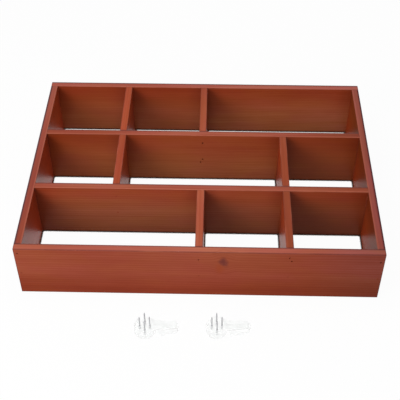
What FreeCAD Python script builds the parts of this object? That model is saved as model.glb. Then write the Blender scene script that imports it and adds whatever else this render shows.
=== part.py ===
import os

import FreeCAD
import Part
import Sketcher

# Wall cubby shelf of nailed boards, lying on its back with its two wall hooks in front of it.
# X runs along the width, Y up the wall towards the top board, Z out of the wall.
# The origin is the middle of the top board's back edge, on the wall plane.

Vector = FreeCAD.Vector
origin_point = (-1, 1)
start_point = 1
end_point = 2
centre_point = 3

# Two lengths in millimetres count as the same within this
same_length = 1e-4
# An edge runs along an axis when the cosine between them is above this
along_cosine = 0.9

doc = FreeCAD.newDocument("wall_cubby_shelf")
sheet = doc.addObject("Spreadsheet::Sheet", "Sizes")

# Driving sizes in millimetres, and the turn of the hooks in degrees
driving_sizes = [
    ("width", 380, "shelf, left to right"),
    ("height", 280, "shelf, bottom to top"),
    ("depth", 68, "shelf, wall to front"),
    ("board", 8, "thickness of every board"),
    ("eased_edge", 0.5, "rounding of the boards' edges"),
    ("nail_length", 25, "brad, head to point"),
    ("nail_diameter", 1.3, "brad shank"),
    ("nail_head", 2.0, "brad head diameter"),
    ("nail_head_height", 0.8, "brad head"),
    ("nail_point", 0.4, "chamfer at the brad's point"),
    ("nail_clearance", 0.05, "round the brads, and past their points"),
    ("nail_sunk", 1.0, "depth of a sunk brad's head below the wood"),
    ("nail_flush", 0.1, "depth of a flush brad's head below the wood"),
    ("nail_inset", 12, "front brads, from the front edge"),
    ("nail_spacing", 25, "rear brads, from the front brads"),
    ("nail_raise", 5, "front brads that stand nearer to the front edge"),
    ("double_shift", 2.4, "second brad of a doubled pair, sideways"),
    ("double_step", 5, "second brad of a doubled pair, towards the wall"),
    ("hook_height", 9, "hook, lying on its front"),
    ("hook_wall", 1.9, "thickness of the tongue and of the lip"),
    ("hook_bend", 2.2, "inside radius of the bends at the tip"),
    ("hook_head", 22, "diameter of the round head"),
    ("hook_reach", 34.7, "pin centre to tip"),
    ("hook_mouth", 1.8, "gap between the head and the lip's free end"),
    ("tongue_root", 13.6, "width of the tongue at the pin centre"),
    ("tongue_tip", 9, "width of the tongue and of the lip at the tip"),
    ("lip_end", 16.7, "width of the lip at its free end"),
    ("lip_corner", 2, "corner radius of the lip's free end"),
    ("hook_round", 0.7, "rounding of the hook's edges"),
    ("pin_circle", 10.4, "diameter of the circle of pins"),
    ("pin_diameter", 1.4, "steel pin, where it stands clear of the head"),
    ("pin_root", 1.8, "steel pin, where it is set in the head"),
    ("pin_seat", 6.5, "depth of a pin in the head"),
    ("pin_exposed", 14, "length of a pin above the head"),
    ("pin_point", 2.2, "length of a pin's point"),
    ("pin_blunt", 0.3, "diameter of a pin's tip"),
    ("pin_clearance", 0.05, "round the pins, and under them"),
    ("hook_ahead", 48.5, "hooks' pin centres, from the bottom board"),
    ("left_hook_x", -54.2, "left hook's pin centre"),
    ("right_hook_x", 19.6, "right hook's pin centre"),
    ("hook_stagger", 1.5, "right hook, nearer to the shelf"),
    ("hook_turn", 3, "turn of the hooks on the floor"),
]
for row, (alias, value, note) in enumerate(driving_sizes, start=1):
    sheet.set("A%d" % row, alias)
    sheet.set("B%d" % row, str(value))
    sheet.set("C%d" % row, note)
    sheet.setAlias("B%d" % row, alias)
doc.recompute()

# The boards' centre lines stand on a grid of equal columns and rows
columns = 4
rows = 3
column_pitch = "(Sizes.width - Sizes.board) / %d" % columns
row_pitch = "(Sizes.height - Sizes.board) / %d" % rows
half_board = "Sizes.board / 2"
shelf_length = "(Sizes.width - 2 * Sizes.board)"
side_length = "(Sizes.height - 2 * Sizes.board)"
divider_length = "(%s - Sizes.board)" % row_pitch

# Each way a nail can be driven: the body's plane across it, and the side that it enters
drives = {
    "down": ("XZ_Plane", -1),
    "up": ("XZ_Plane", 1),
    "right": ("YZ_Plane", -1),
    "left": ("YZ_Plane", 1),
}

sub_parts = []


def column_line(column):
    return "(%s) * %g" % (column_pitch, column - columns / 2)


def row_line(row):
    return "(%s) * %g" % (row_pitch, -row)


def new_body(label, place_x, place_y, turn="0"):
    body = doc.addObject("PartDesign::Body", label)
    body.Label = label
    body.setExpression("Placement.Base.x", place_x)
    body.setExpression("Placement.Base.y", place_y)
    body.setExpression("Placement.Rotation.Angle", turn)
    sub_parts.append(body)
    return body


def new_sketch(body, name, plane, lift="0"):
    planes = {feature.Role: feature for feature in body.Origin.OriginFeatures}
    sketch = body.newObject("Sketcher::SketchObject", name)
    sketch.AttachmentSupport = [(planes[plane], "")]
    sketch.MapMode = "FlatFace"
    sketch.setExpression("AttachmentOffset.Base.z", lift)
    return sketch


def worked_out(sketch, expression):
    return float(sketch.evalExpression(expression))


def bind(sketch, kind, *places, to):
    index = sketch.addConstraint(Sketcher.Constraint(kind, *places, worked_out(sketch, to)))
    sketch.setExpression("Constraints[%d]" % index, to)


def put_point(sketch, geometry, point, across, along):
    bind(sketch, "DistanceX", *origin_point, geometry, point, to=across)
    bind(sketch, "DistanceY", *origin_point, geometry, point, to=along)


def add_circles(sketch, places, diameter):
    radius = worked_out(sketch, diameter) / 2
    for across, along in places:
        centre = Vector(worked_out(sketch, across), worked_out(sketch, along), 0)
        circle = sketch.addGeometry(Part.Circle(centre, Vector(0, 0, 1), radius))
        put_point(sketch, circle, centre_point, across, along)
        bind(sketch, "Diameter", circle, to=diameter)


def add_outline(sketch, corners, round_sides=()):
    # A closed run through corners given as pairs of expressions, counter-clockwise
    # A side that starts at a corner in round_sides is a half circle
    count = len(corners)
    first = sketch.GeometryCount
    points = [Vector(*(worked_out(sketch, value) for value in corner), 0) for corner in corners]
    for index in range(count):
        start = points[index]
        end = points[(index + 1) % count]
        if index in round_sides:
            circle = Part.Circle((start + end) / 2, Vector(0, 0, 1), (end - start).Length / 2)
            sketch.addGeometry(Part.ArcOfCircle(circle, circle.parameter(start), circle.parameter(end)))
            bind(sketch, "DistanceX", *origin_point, first + index, centre_point, to=corners[index][0])
        else:
            sketch.addGeometry(Part.LineSegment(start, end))
    for index, (across, along) in enumerate(corners):
        before = first + (index - 1) % count
        joined = Sketcher.Constraint("Coincident", before, end_point, first + index, start_point)
        sketch.addConstraint(joined)
        put_point(sketch, first + index, start_point, across, along)


def add_rectangle(sketch, size_x, size_y):
    left, right = "-(%s) / 2" % size_x, "(%s) / 2" % size_x
    low, high = "-(%s) / 2" % size_y, "(%s) / 2" % size_y
    add_outline(sketch, [(left, low), (right, low), (right, high), (left, high)])


def pad(body, name, sketch, length, reverse=False, midplane=False):
    feature = body.newObject("PartDesign::Pad", name)
    feature.Profile = sketch
    feature.setExpression("Length", length)
    feature.Reversed = reverse
    feature.Midplane = midplane
    return feature


def is_same(value, wanted):
    return abs(value - wanted) < same_length


def runs_along(edge, axis):
    return abs(edge.tangentAt(edge.FirstParameter).dot(axis)) > along_cosine


def edge_names(shape, wanted):
    return ["Edge%d" % index for index, edge in enumerate(shape.Edges, start=1) if wanted(edge)]


def ease(body, name, base, radius, wanted):
    doc.recompute()
    feature = body.newObject("PartDesign::Fillet", name)
    feature.Base = (base, edge_names(base.Shape, wanted))
    feature.setExpression("Radius", radius)
    doc.recompute()


def drill(body, name, drive, half_span, places, diameter, depth=None, head=None):
    # Nail holes from one face of a board, through it or to a depth, with a counterbore for the heads
    plane, side = drives[drive]
    sketch = new_sketch(body, name + "_places", plane, "%d * (%s)" % (side, half_span))
    add_circles(sketch, places, diameter)
    doc.recompute()
    hole = body.newObject("PartDesign::Hole", name)
    hole.Profile = sketch
    doc.recompute()
    hole.Reversed = side < 0
    hole.ThreadType = "None"
    hole.DrillPoint = "Flat"
    hole.setExpression("Diameter", diameter)
    hole.DepthType = "Dimension" if depth else "ThroughAll"
    if depth:
        hole.setExpression("Depth", depth)
    if head:
        hole.HoleCutType = "Counterbore"
        hole.HoleCutCustomValues = True
        hole.setExpression("HoleCutDiameter", "Sizes.nail_head + 2 * Sizes.nail_clearance")
        hole.setExpression("HoleCutDepth", head)
    doc.recompute()


# Boards: each body stands at the middle of its board's back edge


def flat_board(label, row, length, exposed_side=0):
    # A board across the width; an outer one has its ends and its outer corners eased too
    body = new_body(label, "0", row_line(row))
    sketch = new_sketch(body, label + "_outline", "XY_Plane")
    add_rectangle(sketch, length, "Sizes.board")
    block = pad(body, label + "_block", sketch, "Sizes.depth")

    def is_eased(edge):
        if runs_along(edge, Vector(1, 0, 0)):
            return True
        if not exposed_side:
            return False
        return runs_along(edge, Vector(0, 1, 0)) or edge.CenterOfMass.y * exposed_side > 0

    ease(body, label + "_eased", block, "Sizes.eased_edge", is_eased)
    return body


def upright_board(label, column, middle_row, length):
    # A board up the wall, between two boards that lie across the width
    body = new_body(label, column_line(column), row_line(middle_row))
    sketch = new_sketch(body, label + "_outline", "XY_Plane")
    add_rectangle(sketch, "Sizes.board", length)
    block = pad(body, label + "_block", sketch, "Sizes.depth")
    ease(body, label + "_eased", block, "Sizes.eased_edge", lambda edge: runs_along(edge, Vector(0, 1, 0)))
    return body


boards = {
    "top_board": flat_board("top_board", 0, "Sizes.width", exposed_side=1),
    "bottom_board": flat_board("bottom_board", rows, "Sizes.width", exposed_side=-1),
    "left_side": upright_board("left_side", 0, rows / 2, side_length),
    "right_side": upright_board("right_side", columns, rows / 2, side_length),
    "upper_shelf": flat_board("upper_shelf", 1, shelf_length),
    "lower_shelf": flat_board("lower_shelf", 2, shelf_length),
}
dividers = [
    ("top_row_left_divider", 1, 0),
    ("top_row_middle_divider", 2, 0),
    ("middle_row_left_divider", 1, 1),
    ("middle_row_right_divider", 3, 1),
    ("bottom_row_middle_divider", 2, 2),
    ("bottom_row_right_divider", 3, 2),
]
for label, column, row in dividers:
    boards[label] = upright_board(label, column, row + 0.5, divider_length)

# Half of the length of each board that takes nails in its ends
half_lengths = {label: "%s / 2" % divider_length for label, column, row in dividers}
half_lengths.update({"left_side": "%s / 2" % side_length, "right_side": "%s / 2" % side_length})
half_lengths.update({"upper_shelf": "%s / 2" % shelf_length, "lower_shelf": "%s / 2" % shelf_length})


# Nailed joints: the board that is nailed through, the way, the grid line, and the board behind it
joints = [
    ("top_board", "down", 0, "left_side"),
    ("top_board", "down", 1, "top_row_left_divider"),
    ("top_board", "down", 2, "top_row_middle_divider"),
    ("top_board", "down", 4, "right_side"),
    ("upper_shelf", "up", 1, "top_row_left_divider"),
    ("upper_shelf", "up", 2, "top_row_middle_divider"),
    ("upper_shelf", "down", 3, "middle_row_right_divider"),
    ("lower_shelf", "up", 1, "middle_row_left_divider"),
    ("lower_shelf", "up", 3, "middle_row_right_divider"),
    ("lower_shelf", "down", 2, "bottom_row_middle_divider"),
    ("bottom_board", "up", 0, "left_side"),
    ("bottom_board", "up", 2, "bottom_row_middle_divider"),
    ("bottom_board", "up", 3, "bottom_row_right_divider"),
    ("bottom_board", "up", 4, "right_side"),
    ("left_side", "right", 1, "upper_shelf"),
    ("left_side", "right", 2, "lower_shelf"),
    ("right_side", "left", 1, "upper_shelf"),
    ("right_side", "left", 2, "lower_shelf"),
]
# The two joints where a second brad stands beside the first, with its row and its side
doubled = {
    ("bottom_board", "bottom_row_right_divider"): ("front", "Sizes.double_shift"),
    ("upper_shelf", "top_row_middle_divider"): ("rear", "-Sizes.double_shift"),
}
# The two joints whose front brads stand nearer to the front edge
raised = [("bottom_board", "left_side"), ("bottom_board", "bottom_row_right_divider")]
row_heights = {
    "front": "Sizes.depth - Sizes.nail_inset",
    "rear": "Sizes.depth - Sizes.nail_inset - Sizes.nail_spacing",
}
# Brads are sunk in the upper shelf and along the front of the outer boards
# The others are flush, and the stain covers them
outer_boards = ("top_board", "bottom_board", "left_side", "right_side")
nail_hole = "Sizes.nail_diameter + 2 * Sizes.nail_clearance"


def joint_nails(driver, receiver, row):
    # Sideways and upright places of one joint's brads, about the joint's own grid line
    height = row_heights[row]
    if row == "front" and (driver, receiver) in raised:
        height += " + Sizes.nail_raise"
    places = [("0", height)]
    double_row, shift = doubled.get((driver, receiver), (None, None))
    if row == double_row:
        places.append((shift, "%s - Sizes.double_step" % height))
    return places


def nail_set(driver, row):
    sunk = driver == "upper_shelf" or (driver in outer_boards and row == "front")
    return "Sizes.nail_sunk" if sunk else "Sizes.nail_flush"


def joint_line(driver, line):
    # Where a grid line crosses the driving board, in that board's own frame
    if driver in ("left_side", "right_side"):
        return "%s - (%s)" % (row_line(line), row_line(rows / 2))
    return column_line(line)


def nail_group(driver):
    # All the brads driven through one board, in the board's own frame
    board = boards[driver]
    label = driver + "_nails"
    board_place = board.Name + ".Placement.Base"
    body = new_body(label, board_place + ".x", board_place + ".y")
    ways = sorted({way for board_name, way, line, receiver in joints if board_name == driver})
    for way in ways:
        for row in row_heights:
            add_nail_row(body, board, driver, way, row)
    ease_points(body, label)


def add_nail_row(body, board, driver, way, row):
    plane, side = drives[way]
    sunk = nail_set(driver, row)
    places = []
    for board_name, joint_way, line, receiver in joints:
        if (board_name, joint_way) == (driver, way):
            for shift, height in joint_nails(driver, receiver, row):
                places.append(("%s + (%s)" % (joint_line(driver, line), shift), height))
    name = "%s_%s_%s" % (driver, way, row)
    drill(board, name + "_holes", way, half_board, places, nail_hole,
          head="%s + Sizes.nail_head_height + Sizes.nail_clearance" % sunk)
    lift = "%d * (%s - %s)" % (side, half_board, sunk)
    for part, diameter, length in (
        ("shanks", "Sizes.nail_diameter", "Sizes.nail_length"),
        ("heads", "Sizes.nail_head", "Sizes.nail_head_height"),
    ):
        sketch = new_sketch(body, "%s_%s_places" % (name, part), plane, lift)
        add_circles(sketch, places, diameter)
        pad(body, "%s_%s" % (name, part), sketch, length, reverse=side > 0)


def ease_points(body, label):
    # The brads' points: the far rims of the shanks
    doc.recompute()
    base = body.Tip
    shank = doc.Sizes.nail_diameter / 2

    rims = [edge for edge in base.Shape.Edges if isinstance(edge.Curve, Part.Circle)]
    head_middles = [rim.CenterOfMass for rim in rims if not is_same(rim.Curve.Radius, shank)]

    def is_point(edge):
        if not isinstance(edge.Curve, Part.Circle) or not is_same(edge.Curve.Radius, shank):
            return False
        nearest_head = min((edge.CenterOfMass - middle).Length for middle in head_middles)
        return nearest_head > doc.Sizes.nail_length / 2

    points = body.newObject("PartDesign::Chamfer", label + "_points")
    points.Base = (base, edge_names(base.Shape, is_point))
    points.setExpression("Size", "Sizes.nail_point")
    doc.recompute()


for driver in ("top_board", "bottom_board", "left_side", "right_side", "upper_shelf", "lower_shelf"):
    nail_group(driver)

# The ends that the brads go on into
for driver, way, line, receiver in joints:
    for row in row_heights:
        reach = "Sizes.nail_length + %s - Sizes.board + Sizes.nail_clearance" % nail_set(driver, row)
        drill(boards[receiver], "%s_from_%s_%s" % (receiver, driver, row), way, half_lengths[receiver],
              joint_nails(driver, receiver, row), nail_hole, depth=reach)


# Wall hooks: a round head with four pins, and a tongue that turns back into a lip
# The tongue and the lip end in the same round tip, which starts here
shoulder = "Sizes.hook_reach - Sizes.tongue_tip / 2"
# A bend at the tip takes no more than this share of the slot, so a little of the slot's end stays straight
bend_share = 0.45
inner_bend = "min(Sizes.hook_bend; %g * (Sizes.hook_height - 2 * Sizes.hook_wall))" % bend_share


def pin_places():
    radius = "Sizes.pin_circle / 2"
    return [(radius, "0"), ("0", radius), ("-" + radius, "0"), ("0", "-" + radius)]


def is_softened(edge):
    # The rims of the round head and the long sides of the tongue
    rims = (0, doc.Sizes.hook_height)
    sides = (doc.Sizes.hook_height, doc.Sizes.hook_height - doc.Sizes.hook_wall)
    if isinstance(edge.Curve, Part.Circle):
        levels = rims if is_same(edge.Curve.Radius, doc.Sizes.hook_head / 2) else ()
    else:
        levels = sides if runs_along(edge, Vector(1, 0, 0)) else ()
    return any(is_same(edge.CenterOfMass.z, level) for level in levels)


def hook(label, place_x, place_y):
    body = new_body(label, place_x, place_y, "Sizes.hook_turn")
    add_tongue(body, label)
    add_plan_trim(body, label)
    head = new_sketch(body, label + "_head_outline", "XY_Plane")
    add_circles(head, [("0", "0")], "Sizes.hook_head")
    disc = pad(body, label + "_head", head, "Sizes.hook_height")
    ease(body, label + "_softened", disc, "Sizes.hook_round", is_softened)
    add_lip(body, label)
    holes = new_sketch(body, label + "_pin_places", "XY_Plane", "Sizes.hook_height")
    add_circles(holes, pin_places(), "Sizes.pin_root + 2 * Sizes.pin_clearance")
    seats = body.newObject("PartDesign::Pocket", label + "_pin_seats")
    seats.Profile = holes
    seats.setExpression("Length", "Sizes.pin_seat + Sizes.pin_clearance")
    return body


def add_tongue(body, label):
    # The tongue seen from the side, from the head to the tip and back to where the lip starts, bent round
    reach = "Sizes.hook_reach"
    inner_reach = "Sizes.hook_reach - Sizes.hook_wall"
    stub = shoulder + " - Sizes.hook_wall"
    top = "Sizes.hook_height"
    under = "Sizes.hook_height - Sizes.hook_wall"
    profile = new_sketch(body, label + "_profile", "XZ_Plane")
    add_outline(profile, [("0", top), ("0", under), (inner_reach, under), (inner_reach, "Sizes.hook_wall"),
                          (stub, "Sizes.hook_wall"), (stub, "0"), (reach, "0"), (reach, top)])
    strip = pad(body, label + "_strip", profile, "Sizes.hook_head", midplane=True)
    across = Vector(0, 1, 0)
    outer_x = doc.Sizes.hook_reach
    inner_x = outer_x - doc.Sizes.hook_wall
    ease(body, label + "_inner_bend", strip, inner_bend,
         lambda edge: runs_along(edge, across) and is_same(edge.CenterOfMass.x, inner_x))
    ease(body, label + "_outer_bend", body.Tip, inner_bend + " + Sizes.hook_wall",
         lambda edge: runs_along(edge, across) and is_same(edge.CenterOfMass.x, outer_x))


def add_plan_trim(body, label):
    # Takes the tongue down to its tapered outline, round at the tip
    trim = new_sketch(body, label + "_plan", "XY_Plane")
    margin = "Sizes.hook_head"
    beyond = "Sizes.hook_reach + Sizes.hook_head"
    root = "Sizes.tongue_root / 2"
    tip = "Sizes.tongue_tip / 2"
    add_outline(trim, [("-" + margin, "-" + margin), (beyond, "-" + margin),
                       (beyond, margin), ("-" + margin, margin)])
    add_outline(trim, [("0", "-" + root), (shoulder, "-" + tip), (shoulder, tip), ("0", root)],
                round_sides=[1])
    cut = body.newObject("PartDesign::Pocket", label + "_trim")
    cut.Profile = trim
    cut.Type = "ThroughAll"
    cut.Reversed = True


def add_lip(body, label):
    # The lip widens from the tip to its free end, which stops short of the head
    free_end = "Sizes.hook_head / 2 + Sizes.hook_mouth"
    wide = "Sizes.lip_end / 2"
    narrow = "Sizes.tongue_tip / 2"
    outline = new_sketch(body, label + "_lip_outline", "XY_Plane")
    add_outline(outline, [(free_end, "-" + wide), (shoulder, "-" + narrow),
                          (shoulder, narrow), (free_end, wide)])
    lip = pad(body, label + "_lip", outline, "Sizes.hook_wall")
    free_x = doc.Sizes.hook_head / 2 + doc.Sizes.hook_mouth
    ease(body, label + "_lip_corners", lip, "Sizes.lip_corner",
         lambda edge: is_same(edge.CenterOfMass.x, free_x) and runs_along(edge, Vector(0, 0, 1)))


def hook_pins(label, seat):
    # Four pointed pins with thicker roots, turned about their own axes and set round the head
    seat_place = seat.Name + ".Placement.Base"
    body = new_body(label, seat_place + ".x", seat_place + ".y", "Sizes.hook_turn")
    axis = "Sizes.pin_circle / 2"
    foot = "Sizes.hook_height - Sizes.pin_seat"
    face = "Sizes.hook_height"
    tip = "Sizes.hook_height + Sizes.pin_exposed"
    root_side = axis + " + Sizes.pin_root / 2"
    shank_side = axis + " + Sizes.pin_diameter / 2"
    corners = [
        (axis, foot),
        (root_side, foot),
        (root_side, face),
        (shank_side, face),
        (shank_side, tip + " - Sizes.pin_point"),
        (axis + " + Sizes.pin_blunt / 2", tip),
        (axis, tip),
    ]
    profile = new_sketch(body, label + "_profile", "XZ_Plane")
    add_outline(profile, corners)
    turned = body.newObject("PartDesign::Revolution", label + "_turned")
    turned.Profile = profile
    turned.ReferenceAxis = (profile, ["Edge%d" % len(corners)])
    turned.Angle = 360
    doc.recompute()
    pattern = body.newObject("PartDesign::PolarPattern", label + "_circle")
    pattern.Originals = [turned]
    axes = {feature.Role: feature for feature in body.Origin.OriginFeatures}
    pattern.Axis = (axes["Z_Axis"], [""])
    pattern.Angle = 360
    pattern.Occurrences = len(pin_places())
    body.Tip = pattern


hooks_y = "-(Sizes.height - Sizes.board / 2) - Sizes.hook_ahead"
left_hook = hook("left_hook", "Sizes.left_hook_x", hooks_y)
right_hook = hook("right_hook", "Sizes.right_hook_x", hooks_y + " + Sizes.hook_stagger")
hook_pins("left_hook_pins", left_hook)
hook_pins("right_hook_pins", right_hook)

# Every feature has to be sound before any file is written
doc.recompute()
for item in doc.Objects:
    if "Invalid" in item.State or "Error" in item.State:
        raise RuntimeError("%s failed: %s" % (item.Label, item.State))
for body in sub_parts:
    if body.Shape.isNull() or not body.Shape.isValid():
        raise RuntimeError("%s has no sound shape" % body.Label)

os.makedirs("parts", exist_ok=True)
for body in sub_parts:
    body.Shape.exportStep("parts/%s.step" % body.Label)
    print(body.Label, len(body.Shape.Solids), "solids", round(body.Shape.Volume, 2), "mm3")
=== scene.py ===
import math

import bpy
from mathutils import Matrix, Vector


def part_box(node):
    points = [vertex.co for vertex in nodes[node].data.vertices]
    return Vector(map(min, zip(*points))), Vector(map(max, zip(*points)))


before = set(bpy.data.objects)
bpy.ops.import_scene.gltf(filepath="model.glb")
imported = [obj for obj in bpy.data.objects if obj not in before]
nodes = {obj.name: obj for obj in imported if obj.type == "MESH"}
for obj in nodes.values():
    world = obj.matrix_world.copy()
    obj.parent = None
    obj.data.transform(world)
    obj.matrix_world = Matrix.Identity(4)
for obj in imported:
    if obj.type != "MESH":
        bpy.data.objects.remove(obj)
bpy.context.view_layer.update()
scene = bpy.context.scene
scene.view_settings.view_transform = "Standard"
print("frame loaded:", len(nodes), "CAD nodes")

white = (1, 1, 1, 1)
noTint = (1, 1, 1)
noiseMiddle = 0.5  # the value that a noise swings about


def paint(red, green, blue):
    # a 0-255 colour, as a paint program shows it, turned into the linear one that a shader takes
    def straight(value):
        value = value / 255
        return value / 12.92 if value <= 0.04045 else ((value + 0.055) / 1.055) ** 2.4
    return straight(red), straight(green), straight(blue), 1.0


# small helpers for building node trees: a value may be a number, a tuple or another node's output
def put(tree, kind, values=None, out=0, **settings):
    node = tree.nodes.new("ShaderNode" + kind)
    for key, value in settings.items():
        setattr(node, key, value)
    for key, value in (values or {}).items():
        if isinstance(value, bpy.types.NodeSocket):
            tree.links.new(value, node.inputs[key])
        else:
            node.inputs[key].default_value = value
    return node.outputs[out]


def calc(tree, operation, first, second=0.0, third=0.0):
    return put(tree, "Math", {0: first, 1: second, 2: third}, operation=operation)


def times(tree, first, *others):
    for other in others:
        first = calc(tree, "MULTIPLY", first, other)
    return first


def calcVector(tree, operation, first, second):
    return put(tree, "VectorMath", {0: first, 1: second}, operation=operation)


def lengthOf(tree, vector):
    return put(tree, "VectorMath", {0: vector}, out="Value", operation="LENGTH")


def parts(tree, vector):
    node = tree.nodes.new("ShaderNodeSeparateXYZ")
    tree.links.new(vector, node.inputs[0])
    return node.outputs


def noise(tree, vector, grain, detail=2.0, rough=0.5, out=0):
    # grain is how many swings of the noise fit in a metre, along each axis
    return put(tree, "TexNoise", {
        "Vector": calcVector(tree, "MULTIPLY", vector, grain), "Scale": 1.0,
        "Detail": detail, "Roughness": rough}, out=out)


def sway(tree, value, changes):
    # moves a value up and down with some noises, each by its own share
    for part, share in changes:
        value = calc(tree, "MULTIPLY_ADD", calc(tree, "SUBTRACT", part, noiseMiddle), share, value)
    return value


def ramp(tree, value, stops):
    node = tree.nodes.new("ShaderNodeValToRGB")
    tree.links.new(value, node.inputs[0])
    steps = node.color_ramp.elements
    while len(steps) < len(stops):
        steps.new(0.5)  # moved to its place below
    for step, (place, colour) in zip(steps, stops):
        step.position = place
        step.color = colour if isinstance(colour, tuple) else (colour, colour, colour, 1)
    return node.outputs[0]


def fade(tree, value, zone, start=0.0, end=1.0):
    # goes softly from start to end as the value crosses the zone
    low, high = zone
    return put(tree, "MapRange", {0: value, 1: low, 2: high, 3: start, 4: end},
               interpolation_type="SMOOTHSTEP")


# the Mix node keeps a pair of sockets for colours at 6 and 7, and one for vectors at 4 and 5
def blend(tree, share, first, second):
    return put(tree, "Mix", {0: share, 6: first, 7: second}, out=2, data_type="RGBA")


def blendVector(tree, share, first, second):
    return put(tree, "Mix", {0: share, 4: first, 5: second}, out=1, data_type="VECTOR")


def newMaterial(name):
    material = bpy.data.materials.new(name)
    material.use_nodes = True
    material.node_tree.nodes.clear()
    return material, material.node_tree


def bumpOf(tree, height, distance):
    return put(tree, "Bump", {"Height": height, "Distance": distance, "Strength": 1.0})


def closeMaterial(tree, shader):
    end = tree.nodes.new("ShaderNodeOutputMaterial")
    tree.links.new(shader, end.inputs[0])


def dress(name, material):
    piece = nodes[name]
    piece.data.materials.clear()
    piece.data.materials.append(material)


# stained pine: one group that every board shares
woodLook = {
    "deep": paint(118, 40, 18),
    "body": paint(156, 67, 38),
    "pale": paint(192, 104, 76),
    # wear along the edges, and a painted highlight along the front edge's arris in view
    "wearAndHighlight": paint(205, 116, 88),
    # stain built up along the edges, and painted shade along the front edge's arris away from view
    "arris": paint(78, 40, 45),
    # colour of pooled stain with painted shade, for the corners between the boards
    "pool": paint(104, 42, 24),
    "knot": paint(112, 50, 50),
    "resin": paint(174, 76, 40),
    "redder": (1.0, 0.96, 1.06),  # tints of the patches
    "browner": (1.0, 1.04, 0.93),
    "plain": (1.00, 0.92, 0.94),  # tint on the faces that the photo does not show
    "rings": 0.16,  # how far each part of the figure moves the tone
    "streaks": 0.23,
    "fibres": 0.18,
    "blotches": 0.34,
    "streakGrain": (5, 240, 240),  # how fine it is: along, across and through the board
    "fibreGrain": (40, 1500, 1500),
    "blotchGrain": (10, 26, 26),
    "patchGrain": (16, 45, 45),
    "patches": (0.36, 0.64),  # of the noise: where the tint changes over
    "wanderGrain": (2.2, 9, 9),
    "wander": (0, 0.012, 0.006),  # how far the pith strays, in metres
    "taper": (0.02, 1, 1),  # the rings change slowly along the board
    "wobbleGrain": (14, 110, 110),
    "wobble": 0.5,  # in rings
    "lateWood": [(0, 0.05), (0.45, 0.15), (0.8, 0.75), (0.93, 1.0), (1, 0.05)],  # across one ring
    "ringChange": 0.6,  # how much the rings differ from each other
    "knotSquash": (1, 0.62, 0),  # longer across than along
    "knotGrain": (180, 320, 320),
    "knotRagged": 1.4,
    "heart": (0.25, 1.25),  # in radii of the knot
    "heartShare": 0.75,
    "swirl": (0.5, 3.2),
    "swirlPull": -0.55,
    "resinShift": (0.0039, 0.0059, 0),  # metres off the heart
    "resinZone": (0.2, 1.3),
    "resinShare": 0.75,
    "frontStarts": (0.0332, 0.0338),  # metres out from the board's middle
    "tailStarts": (0.10, 0.19),  # metres along from the board's middle
    # how dark, how far and how unevenly the corners are painted: pooled stain and painted shade
    "pooledAndShaded": 0.36,
    "poolAndShadeReach": 0.024,  # metres out of a corner
    "poolAndShadeLeast": 0.6,
    "poolAndShadeBlotches": 0.5,
    "poolAndShadeAtWall": -0.5,
    "edgeZone": (0.0003, 0.0014),  # metres in from an edge
    "wear": 0.30,
    "rubGrain": (30, 60, 60),
    "rubbed": (0.52, 0.68),
    "hiddenFace": (0.95, 0.99),  # of a scale from -1 on the face that the photo shows to 1 behind it
    # zones of painted shade on the arris away from view, and of a painted highlight on the arris in view
    "hiddenArris": (0.30, 0.80),
    "seenArris": (-0.92, -0.45),
    "ior": 1.5,
    "roughness": 0.38,
    "roughFibres": 0.10,
    "roughBlotches": 0.08,
    "bump": 0.00005,
    "bumpRings": 0.5,
    "bumpFibres": 0.6,
}
vectorInputs = ("place", "seed", "pith", "front", "wall", "frontEdge", "tail", "turn", "knot")
numberInputs = ("ring", "tone", "edge", "toHidden", "pool", "arrisHighlight", "build", "line")


def newGroup(name):
    tree = bpy.data.node_groups.new(name, "ShaderNodeTree")
    inputs = [(key, "Vector") for key in vectorInputs] + [(key, "Float") for key in numberInputs]
    for key, kind in inputs:
        tree.interface.new_socket(key, in_out="INPUT", socket_type="NodeSocket" + kind)
    for key, kind in (("colour", "Color"), ("roughness", "Float"), ("height", "Float")):
        tree.interface.new_socket(key, in_out="OUTPUT", socket_type="NodeSocket" + kind)
    return tree, tree.nodes.new("NodeGroupInput").outputs


def bendRoundKnot(tree, look, given):
    # the grain runs round a knot, given by its place (along, across) and its radius
    knotAlong, knotAcross, knotRadius = parts(tree, given["knot"])
    knotPlace = put(tree, "CombineXYZ", {0: knotAlong, 1: knotAcross})
    toKnot = calcVector(tree, "SUBTRACT", given["place"], knotPlace)
    flat = calcVector(tree, "MULTIPLY", toKnot, look["knotSquash"])
    heartFar = calc(tree, "DIVIDE", lengthOf(tree, flat), knotRadius)
    toResin = calcVector(tree, "ADD", flat, look["resinShift"])
    resinFar = calc(tree, "DIVIDE", lengthOf(tree, toResin), knotRadius)
    acrossOnly = calcVector(tree, "MULTIPLY", toKnot, (0, 1, 0))
    swirl = fade(tree, heartFar, look["swirl"], look["swirlPull"], 0.0)
    bent = put(tree, "VectorMath", {0: acrossOnly, "Scale": swirl}, operation="SCALE")
    return calcVector(tree, "ADD", given["place"], bent), heartFar, resinFar


def growthRings(tree, look, given, place, seeded):
    # round a pith that lies off to one side of the board
    wander = noise(tree, seeded, look["wanderGrain"], out="Color")
    wander = calcVector(tree, "SUBTRACT", wander, (noiseMiddle, noiseMiddle, noiseMiddle))
    wander = calcVector(tree, "MULTIPLY", wander, look["wander"])
    fromPith = calcVector(tree, "SUBTRACT", place, given["pith"])
    fromPith = calcVector(tree, "ADD", fromPith, wander)
    radius = lengthOf(tree, calcVector(tree, "MULTIPLY", fromPith, look["taper"]))
    wobble = times(tree, noise(tree, seeded, look["wobbleGrain"]), look["wobble"])
    turns = calc(tree, "ADD", calc(tree, "DIVIDE", radius, given["ring"]), wobble)
    late = ramp(tree, calc(tree, "FRACT", turns), look["lateWood"])
    ownTone = put(tree, "TexWhiteNoise", {"W": calc(tree, "FLOOR", turns)}, noise_dimensions="1D")
    ownShare = calc(tree, "MULTIPLY_ADD", ownTone, look["ringChange"], 1 - look["ringChange"])
    return times(tree, late, ownShare)


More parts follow.
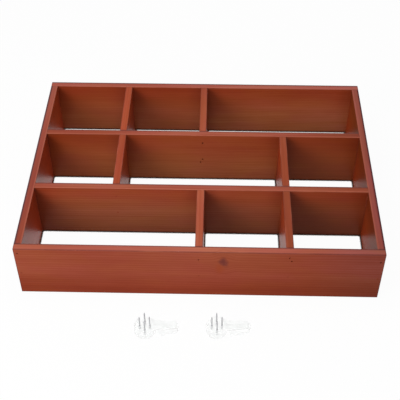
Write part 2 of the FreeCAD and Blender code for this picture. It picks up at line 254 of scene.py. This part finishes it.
def makeWood(look):
    tree, given = newGroup("stainedPine")
    place, heartFar, resinFar = bendRoundKnot(tree, look, given)
    seeded = calcVector(tree, "ADD", place, given["seed"])
    rings = growthRings(tree, look, given, place, seeded)
    streaks = noise(tree, seeded, look["streakGrain"], detail=3)
    fibres = noise(tree, seeded, look["fibreGrain"], detail=3, rough=0.6)
    blotches = noise(tree, seeded, look["blotchGrain"], detail=3)
    tone = sway(tree, given["tone"], (
        (rings, -look["rings"]), (streaks, look["streaks"]),
        (fibres, look["fibres"]), (blotches, look["blotches"])))
    colour = ramp(tree, tone, [(0.0, look["deep"]), (0.5, look["body"]), (1.0, look["pale"])])

    # the colour turns from the front to the wall, and is another again on the front edge: tints that carry
    # the stain's colour with painted light, shade and sheen, while faces away from view keep a plain stain
    along, across = parts(tree, given["place"])[:2]
    turnStart, turnEnd = parts(tree, given["turn"])[:2]
    toWall = fade(tree, across, (turnEnd, turnStart), 1.0, 0.0)
    onFront = fade(tree, across, look["frontStarts"])
    onHidden = fade(tree, given["toHidden"], look["hiddenFace"])
    stainAndLight = blendVector(tree, toWall, given["front"], given["wall"])
    stainAndLight = blendVector(tree, onHidden, stainAndLight, look["plain"])
    stainAndLight = blendVector(tree, onFront, stainAndLight, given["frontEdge"])
    tail = blendVector(tree, fade(tree, along, look["tailStarts"]), noTint, given["tail"])
    patches = fade(tree, noise(tree, seeded, look["patchGrain"]), look["patches"])
    patches = blendVector(tree, patches, look["redder"], look["browner"])
    for tint in (patches, stainAndLight, tail):
        colour = calcVector(tree, "MULTIPLY", colour, tint)

    # darker in the corners between the boards, most of all in front: pooled stain and painted shade
    uneven = calc(tree, "MULTIPLY_ADD", blotches, look["poolAndShadeBlotches"], look["poolAndShadeLeast"])
    inFront = calc(tree, "MULTIPLY_ADD", toWall, look["poolAndShadeAtWall"], 1.0)
    pooledAndShaded = times(tree, given["pool"], uneven, inFront, look["pooledAndShaded"])
    # the knot has a dark ragged heart, with resin beside it
    ragged = noise(tree, seeded, look["knotGrain"], detail=3)
    ragged = sway(tree, heartFar, [(ragged, look["knotRagged"])])
    heart = fade(tree, ragged, look["heart"], look["heartShare"], 0.0)
    resin = fade(tree, resinFar, look["resinZone"], look["resinShare"], 0.0)
    # and the stain built up along the edges and is rubbed thin here and there
    nearEdge = fade(tree, given["edge"], look["edgeZone"], 1.0, 0.0)
    rubbed = fade(tree, noise(tree, seeded, look["rubGrain"], detail=3), look["rubbed"])
    hiddenArris = fade(tree, given["toHidden"], look["hiddenArris"])
    seenArris = fade(tree, given["toHidden"], look["seenArris"], 1.0, 0.0)
    layers = (
        (pooledAndShaded, "pool"),
        (resin, "resin"),
        (heart, "knot"),
        (times(tree, nearEdge, given["build"]), "arris"),
        (times(tree, nearEdge, rubbed, look["wear"]), "wearAndHighlight"),
        # painted shade along the front edge's arris away from view, and a painted highlight along its arris
        # in view
        (times(tree, hiddenArris, onFront, given["line"]), "arris"),
        (times(tree, seenArris, onFront, given["arrisHighlight"]), "wearAndHighlight"),
    )
    for share, layer in layers:
        colour = blend(tree, share, colour, look[layer])

    rough = sway(tree, look["roughness"], (
        (fibres, look["roughFibres"]), (blotches, look["roughBlotches"])))
    height = times(tree, fibres, look["bumpFibres"])
    height = calc(tree, "MULTIPLY_ADD", rings, look["bumpRings"], height)
    end = tree.nodes.new("NodeGroupOutput")
    for key, socket in (("colour", colour), ("roughness", rough), ("height", height)):
        tree.links.new(socket, end.inputs[key])
    return tree


wood = makeWood(woodLook)
print("stained pine made")

halfBoard = 0.004  # metres, half of a board's thickness
faceStarts = (0.0034, 0.0039)  # metres out from the middle of that thickness
touching = 0.0002  # boards nearer than this meet


def cornersOf(name, along):
    # where other boards meet the two faces of this board, along it from its middle
    low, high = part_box(name)
    run, face = (0, 1) if along == "X" else (1, 0)
    half = (high[run] - low[run]) / 2
    spots = {-1: [], 1: []}
    for other in boardLooks:
        otherLow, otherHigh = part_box(other)
        spot = (otherLow[run] + otherHigh[run] - low[run] - high[run]) / 2
        if other == name or abs(spot) > half + 2 * halfBoard:
            continue
        if abs(abs(spot) - half - halfBoard) < touching:  # the board that this one's end butts on
            spots[-1].append(spot)
            spots[1].append(spot)
        elif abs(otherLow[face] - high[face]) < touching:
            spots[1].append(spot)
        elif abs(otherHigh[face] - low[face]) < touching:
            spots[-1].append(spot)
    return spots


# where the pooled stain and the painted corner shade fall
def cornerShare(tree, along, through, spots):
    # only on the two faces, not on the front and back edges
    shares = {}
    for side, places in spots.items():
        nearest = 1.0
        for spot in places:
            away = calc(tree, "ABSOLUTE", calc(tree, "SUBTRACT", along, spot))
            nearest = calc(tree, "MINIMUM", away, nearest)
        reach = (halfBoard, woodLook["poolAndShadeReach"])
        shares[side] = fade(tree, nearest, reach, 1.0, 0.0) if places else 0.0
    above = calc(tree, "GREATER_THAN", through, 0.0)
    share = put(tree, "Mix", {0: above, 2: shares[-1], 3: shares[1]})
    return times(tree, share, fade(tree, calc(tree, "ABSOLUTE", through), faceStarts))


def nearestEdge(tree, spot, half):
    # a point on a face lies at no depth on one axis, so the middle one of the three depths counts
    depths = []
    for part, reach in zip(spot, half):
        depths.append(calc(tree, "SUBTRACT", reach, calc(tree, "ABSOLUTE", part)))
    less = calc(tree, "MINIMUM", depths[0], depths[1])
    more = calc(tree, "MAXIMUM", depths[0], depths[1])
    return calc(tree, "MAXIMUM", less, calc(tree, "MINIMUM", more, depths[2]))


# what a board has where its own entry below says nothing else
plainBoard = {
    "drift": 0,  # change of tone per metre along the board: a painted light falloff
    "bow": 0,  # and per metre squared, the same towards both ends: a painted light falloff too
    "turn": (0.030, -0.030),  # metres out from the middle: where the front's tint ends and the wall's begins
    "build": 0.26,  # stain built up along the edges
    "tail": noTint,  # tint towards the right end
    "knot": (10, 10, 0.001),  # place (along, across) and radius; this one is off the board
}
divider = {
    **plainBoard, "along": "Y", "sheen": 0.09, "front": (1.03, 0.74, 0.48), "wall": (1.00, 0.90, 0.80),
    "hidden": 0, "arrisHighlight": 0, "line": 0}
# along: the way the grain runs; pith: where it lies (across, through); ring: from ring to ring, in metres;
# tone: of the stain, 0 dark and 1 pale; front, wall and frontEdge: tints of the stain with painted light,
# shade and sheen; hidden: the side of the face that the camera does not see; then the strength of painted
# shade along that face's arris, and of a painted highlight along the other arris
boardLooks = {
    "top_board": {
        **plainBoard, "along": "X", "pith": (-0.110, 0.030), "ring": 0.0026, "tone": 0.50, "drift": 0.3,
        "sheen": 0.13, "front": (0.92, 0.77, 0.55), "wall": (1.42, 2.13, 2.00),
        "frontEdge": (1.18, 1.48, 2.30), "hidden": 1, "arrisHighlight": 0.30, "line": 0.90},
    "bottom_board": {
        **plainBoard, "along": "X", "pith": (0.090, 0.060), "ring": 0.0029, "tone": 0.64, "drift": -0.3,
        "bow": -2, "sheen": 0.08, "front": (1.07, 1.02, 1.10), "wall": (0.79, 0.54, 0.39),
        "frontEdge": (1.04, 1.22, 1.62), "turn": (0.010, -0.028), "tail": (0.88, 1.05, 1.42),
        "hidden": 1, "arrisHighlight": 0, "build": 0.45, "line": 0.50, "knot": (0.0254, 0.0182, 0.0050)},
    "left_side": {
        **plainBoard, "along": "Y", "pith": (-0.080, -0.050), "ring": 0.0024, "tone": 0.40, "drift": 1.2,
        "sheen": 0.20, "front": (1.03, 0.74, 0.48), "wall": (1.75, 1.28, 1.00),
        "frontEdge": (0.96, 0.99, 1.48), "hidden": -1, "arrisHighlight": 0.35, "line": 0.90},
    "right_side": {
        **plainBoard, "along": "Y", "pith": (0.120, 0.020), "ring": 0.0027, "tone": 0.38, "drift": 0.5,
        "sheen": 0.02, "front": (0.64, 0.69, 0.48), "wall": (1.50, 1.35, 1.00),
        "frontEdge": (1.09, 1.65, 3.70), "hidden": 1, "arrisHighlight": 0.30, "line": 0.90},
    "upper_shelf": {
        **plainBoard, "along": "X", "pith": (-0.150, -0.030), "ring": 0.0025, "tone": 0.55, "drift": -0.2,
        "bow": -6, "sheen": 0.13, "front": (0.92, 0.82, 0.56), "wall": (1.36, 1.93, 1.60),
        "frontEdge": (0.98, 1.08, 1.38), "hidden": 1, "arrisHighlight": 0.35, "line": 0.50},
    "lower_shelf": {
        **plainBoard, "along": "X", "pith": (0.100, -0.045), "ring": 0.0031, "tone": 0.60, "drift": -0.4,
        "bow": -5, "sheen": 0.12, "front": (1.00, 0.86, 0.70), "wall": (0.98, 1.24, 1.08),
        "frontEdge": (0.96, 1.12, 1.44), "turn": (0.030, 0.000), "hidden": 1, "arrisHighlight": 0.35, "line": 0.50},
    "top_row_left_divider": {
        **divider, "pith": (0.070, 0.060), "ring": 0.0023, "tone": 0.54, "frontEdge": (1.13, 1.05, 1.00)},
    "top_row_middle_divider": {
        **divider, "pith": (-0.130, 0.010), "ring": 0.0028, "tone": 0.52, "frontEdge": (1.00, 1.03, 1.10)},
    "middle_row_left_divider": {
        **divider, "pith": (0.140, -0.020), "ring": 0.0026, "tone": 0.50, "frontEdge": (1.00, 0.94, 1.00)},
    "middle_row_right_divider": {
        **divider, "pith": (-0.090, -0.070), "ring": 0.0024, "tone": 0.48, "frontEdge": (0.95, 1.03, 1.20)},
    "bottom_row_middle_divider": {
        **divider, "pith": (0.110, 0.050), "ring": 0.0030, "tone": 0.60, "frontEdge": (1.05, 1.15, 1.35)},
    "bottom_row_right_divider": {
        **divider, "pith": (-0.100, 0.025), "ring": 0.0025, "tone": 0.48, "frontEdge": (0.89, 1.03, 1.27)},
}
seedStep = (1.37, 0.71, 0.43)  # metres between the figures of two boards
plainInputs = ("ring", "front", "wall", "frontEdge", "tail", "knot", "arrisHighlight", "build", "line")  # as they stand


def makeBoard(name, look, index):
    material, tree = newMaterial(name + "Wood")
    low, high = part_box(name)
    spot = calcVector(tree, "SUBTRACT", put(tree, "TexCoord", out="Object"), (low + high) / 2)
    x, y, z = parts(tree, spot)
    run, face = (x, y) if look["along"] == "X" else (y, x)
    # painted light falloff along the board, on top of the board's own tone
    bowed = calc(tree, "MULTIPLY_ADD", run, look["bow"], look["drift"])
    values = {key: look[key] for key in plainInputs}
    values["place"] = put(tree, "CombineXYZ", {0: run, 1: z, 2: face})
    values["edge"] = nearestEdge(tree, (x, y, z), (high - low) / 2)
    values["pool"] = cornerShare(tree, run, face, cornersOf(name, look["along"]))
    values["tone"] = calc(tree, "MULTIPLY_ADD", run, bowed, look["tone"])
    values["toHidden"] = times(tree, face, look["hidden"] / halfBoard)
    values["seed"] = [index * step for step in seedStep]
    values["pith"] = (0, *look["pith"])
    values["turn"] = (*look["turn"], 0)
    pine = put(tree, "Group", values, node_tree=wood).node.outputs
    closeMaterial(tree, put(tree, "BsdfPrincipled", {
        "Base Color": pine["colour"], "Roughness": pine["roughness"],
        "Normal": bumpOf(tree, pine["height"], woodLook["bump"]),
        "IOR": woodLook["ior"], "Specular IOR Level": look["sheen"]}))
    dress(name, material)


for index, (name, look) in enumerate(boardLooks.items(), start=1):
    makeBoard(name, look, index)
print("boards dressed:", len(boardLooks))

# brads: the sunk ones dark with stain, the flush ones wiped over
nailLook = {
    "sunk": paint(64, 24, 16),
    "sunkSpeck": paint(84, 50, 40),
    "flush": paint(160, 68, 41),
    "flushSpeck": paint(150, 62, 37),
    "flushBelow": {"upper_shelf": 0, "lower_shelf": 1},  # flush nearer the wall than this, in metres
    "flushElse": 0.042,
    "flushEdge": 0.001,
    "speckGrain": (1800, 1800, 1800),
    "roughness": 0.5,
    "roughSpecks": 0.2,
    "bump": 0.00003,
    "ior": 1.5,
    "sheen": 0.15,
}


def makeNails(name, look, flushBelow):
    material, tree = newMaterial(name + "Steel")
    spot = put(tree, "TexCoord", out="Object")
    fromWall = parts(tree, spot)[2]
    border = (flushBelow - look["flushEdge"], flushBelow + look["flushEdge"])
    flush = fade(tree, fromWall, border, 1.0, 0.0)
    specks = noise(tree, spot, look["speckGrain"], detail=3)
    sunk = blend(tree, specks, look["sunk"], look["sunkSpeck"])
    wiped = blend(tree, specks, look["flush"], look["flushSpeck"])
    closeMaterial(tree, put(tree, "BsdfPrincipled", {
        "Base Color": blend(tree, flush, sunk, wiped),
        "Roughness": sway(tree, look["roughness"], [(specks, look["roughSpecks"])]),
        "Normal": bumpOf(tree, specks, look["bump"]),
        "IOR": look["ior"], "Specular IOR Level": look["sheen"]}))
    dress(name, material)


for name in ("top_board", "bottom_board", "left_side", "right_side", "upper_shelf", "lower_shelf"):
    makeNails(name + "_nails", nailLook, nailLook["flushBelow"].get(name, nailLook["flushElse"]))
print("brads dressed")

# wall hooks: milky moulded plastic with steel pins
hookLook = {
    "plastic": paint(254, 254, 254),
    "shade": paint(249, 251, 250),
    "cloudGrain": (90, 90, 90),
    "flowGrain": (60, 700, 700),  # flow marks of the moulding, along the hook
    "roughness": 0.55,
    "roughCloud": 0.12,
    "bump": 0.00002,
    "clear": 0.97,  # share of the light that passes through
    "ior": 1.11,  # low, so that the hooks stay as pale as the floor behind them
}


def makeHook(name, look):
    material, tree = newMaterial(name + "Plastic")
    spot = put(tree, "TexCoord", out="Object")
    cloud = noise(tree, spot, look["cloudGrain"])
    flow = noise(tree, spot, look["flowGrain"])
    closeMaterial(tree, put(tree, "BsdfPrincipled", {
        "Base Color": blend(tree, cloud, look["plastic"], look["shade"]),
        "Roughness": sway(tree, look["roughness"], [(cloud, look["roughCloud"])]),
        "Normal": bumpOf(tree, flow, look["bump"]),
        "IOR": look["ior"], "Transmission Weight": look["clear"]}))
    dress(name, material)


pinLook = {
    "steel": paint(205, 205, 207),
    "dull": paint(172, 172, 175),
    "drawnGrain": (2500, 2500, 60),  # marks of the wire drawing, along the pin
    "roughness": 0.365,
    "roughDrawn": 0.15,
    "bump": 0.00001,
}


def makePins(name, look):
    material, tree = newMaterial(name + "Steel")
    drawn = noise(tree, put(tree, "TexCoord", out="Object"), look["drawnGrain"])
    closeMaterial(tree, put(tree, "BsdfPrincipled", {
        "Base Color": blend(tree, drawn, look["steel"], look["dull"]), "Metallic": 1.0,
        "Roughness": sway(tree, look["roughness"], [(drawn, look["roughDrawn"])]),
        "Normal": bumpOf(tree, drawn, look["bump"])}))
    dress(name, material)


for side in ("left", "right"):
    makeHook(side + "_hook", hookLook)
    makePins(side + "_hook_pins", pinLook)
print("hooks dressed")

# floor and light
studioLook = {
    "floor": paint(115, 115, 115),
    "seenFloor": paint(248, 248, 248),
    "floorSize": 12,
    "floorDrop": 0.0004,  # metres below the shelf
    "paperGrain": (40, 40, 40),
    "paper": paint(200, 200, 200),
    "paperShare": 0.06,
    "glow": 0.96,  # how much of the floor that the camera sees is plain white
    "contactShadowReach": 0.0030,  # reach of the painted contact shadow, a dark line where the wood meets the floor, inside the frame
    "contactShadowZone": (0.74, 0.88),  # share of open sky where that line starts and ends
    # colour of that painted contact shadow
    "contactShadow": paint(46, 25, 17),
    "world": 0.50,
    "middle": (0, -0.14, 0.03),  # of the shelf, where the lamps point
    "lamps": {
        "key": {"place": (-0.62, -0.95, 0.62), "size": 0.60, "power": 6.4},
        "top": {"place": (-0.05, -0.20, 0.50), "size": 0.18, "power": 0.55},
    },
}


def seenRays(tree):
    # 1 where the camera sees a thing, also in a reflection or through the plastic
    path = tree.nodes.new("ShaderNodeLightPath").outputs
    seen = calc(tree, "MAXIMUM", path["Is Camera Ray"], path["Is Glossy Ray"])
    return calc(tree, "MAXIMUM", seen, path["Is Transmission Ray"])


def insideFrame(tree):
    # 1 on the floor inside the frame, but not where the near board stands: where the painted contact shadow
    # goes
    x, y = parts(tree, put(tree, "NewGeometry", out="Position"))[:2]
    left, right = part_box("left_side")[0].x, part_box("right_side")[1].x
    near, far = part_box("bottom_board")[1].y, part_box("top_board")[1].y
    inside = 1.0
    for part, low, high in ((x, left, right), (y, near, far)):
        inside = times(tree, calc(tree, "GREATER_THAN", part, low), inside)
        inside = times(tree, calc(tree, "LESS_THAN", part, high), inside)
    return inside


def makeFloor(look):
    place = (*look["middle"][:2], -look["floorDrop"])
    bpy.ops.mesh.primitive_plane_add(size=look["floorSize"], location=place)
    floor = bpy.context.object
    floor.name = "studioFloor"
    material, tree = newMaterial("paleFloor")
    paper = noise(tree, put(tree, "TexCoord", out="Object"), look["paperGrain"], detail=3)
    seen = seenRays(tree)
    colour = blend(tree, seen, look["floor"], look["seenFloor"])
    colour = blend(tree, times(tree, paper, look["paperShare"]), colour, look["paper"])
    lit = put(tree, "BsdfDiffuse", {"Color": colour})
    sky = put(tree, "AmbientOcclusion", {"Distance": look["contactShadowReach"]}, out="AO")
    # a painted contact shadow in the floor's glow, where the wood meets the floor inside the frame
    line = times(tree, fade(tree, sky, look["contactShadowZone"], 1.0, 0.0), insideFrame(tree))
    glow = blend(tree, line, white, look["contactShadow"])
    glow = put(tree, "Emission", {"Color": glow, "Strength": 1.0})
    closeMaterial(tree, put(tree, "MixShader", {0: times(tree, seen, look["glow"]), 1: lit, 2: glow}))
    floor.data.materials.append(material)


def makeLight(look):
    world = bpy.data.worlds.new("studio")
    scene.world = world
    world.use_nodes = True
    tree = world.node_tree
    tree.nodes.clear()
    strength = put(tree, "MapRange", {0: seenRays(tree), 3: look["world"], 4: 1.0})
    sky = put(tree, "Background", {"Color": white, "Strength": strength})
    tree.links.new(sky, tree.nodes.new("ShaderNodeOutputWorld").inputs[0])
    for name, softbox in look["lamps"].items():
        lamp = bpy.data.lights.new(name + "Softbox", "AREA")
        lamp.shape = "SQUARE"
        lamp.size = softbox["size"]
        lamp.energy = softbox["power"]
        hung = bpy.data.objects.new(name + "Softbox", lamp)
        scene.collection.objects.link(hung)
        hung.location = softbox["place"]
        aim = Vector(look["middle"]) - Vector(softbox["place"])
        hung.rotation_euler = aim.to_track_quat("-Z", "Y").to_euler()


makeFloor(studioLook)
makeLight(studioLook)
print("floor and light made")

# camera at the photo's angle
cameraLook = {
    "place": (0.01740, -0.85805, 0.72143),
    "lens": 77.544,
    "sensor": 36,
    "nearest": 0.01,
    "turn": -1.558,  # degrees: to the right, down, and rolled
    "down": 44.832,
    "roll": -0.238,
}


def makeCamera(look):
    turn, down, roll = (math.radians(look[key]) for key in ("turn", "down", "roll"))
    ahead = Vector((math.sin(turn) * math.cos(down), math.cos(turn) * math.cos(down), -math.sin(down)))
    right = Vector((math.cos(turn), -math.sin(turn), 0))
    up = right.cross(ahead)
    side = math.cos(roll) * right + math.sin(roll) * up
    top = -math.sin(roll) * right + math.cos(roll) * up
    facing = Matrix((side, top, -ahead)).transposed().to_4x4()
    data = bpy.data.cameras.new("photoCamera")
    data.sensor_width = look["sensor"]
    data.lens = look["lens"]
    data.clip_start = look["nearest"]
    camera = bpy.data.objects.new("photoCamera", data)
    scene.collection.objects.link(camera)
    camera.matrix_world = Matrix.Translation(look["place"]) @ facing
    scene.camera = camera


makeCamera(cameraLook)
print("camera set")
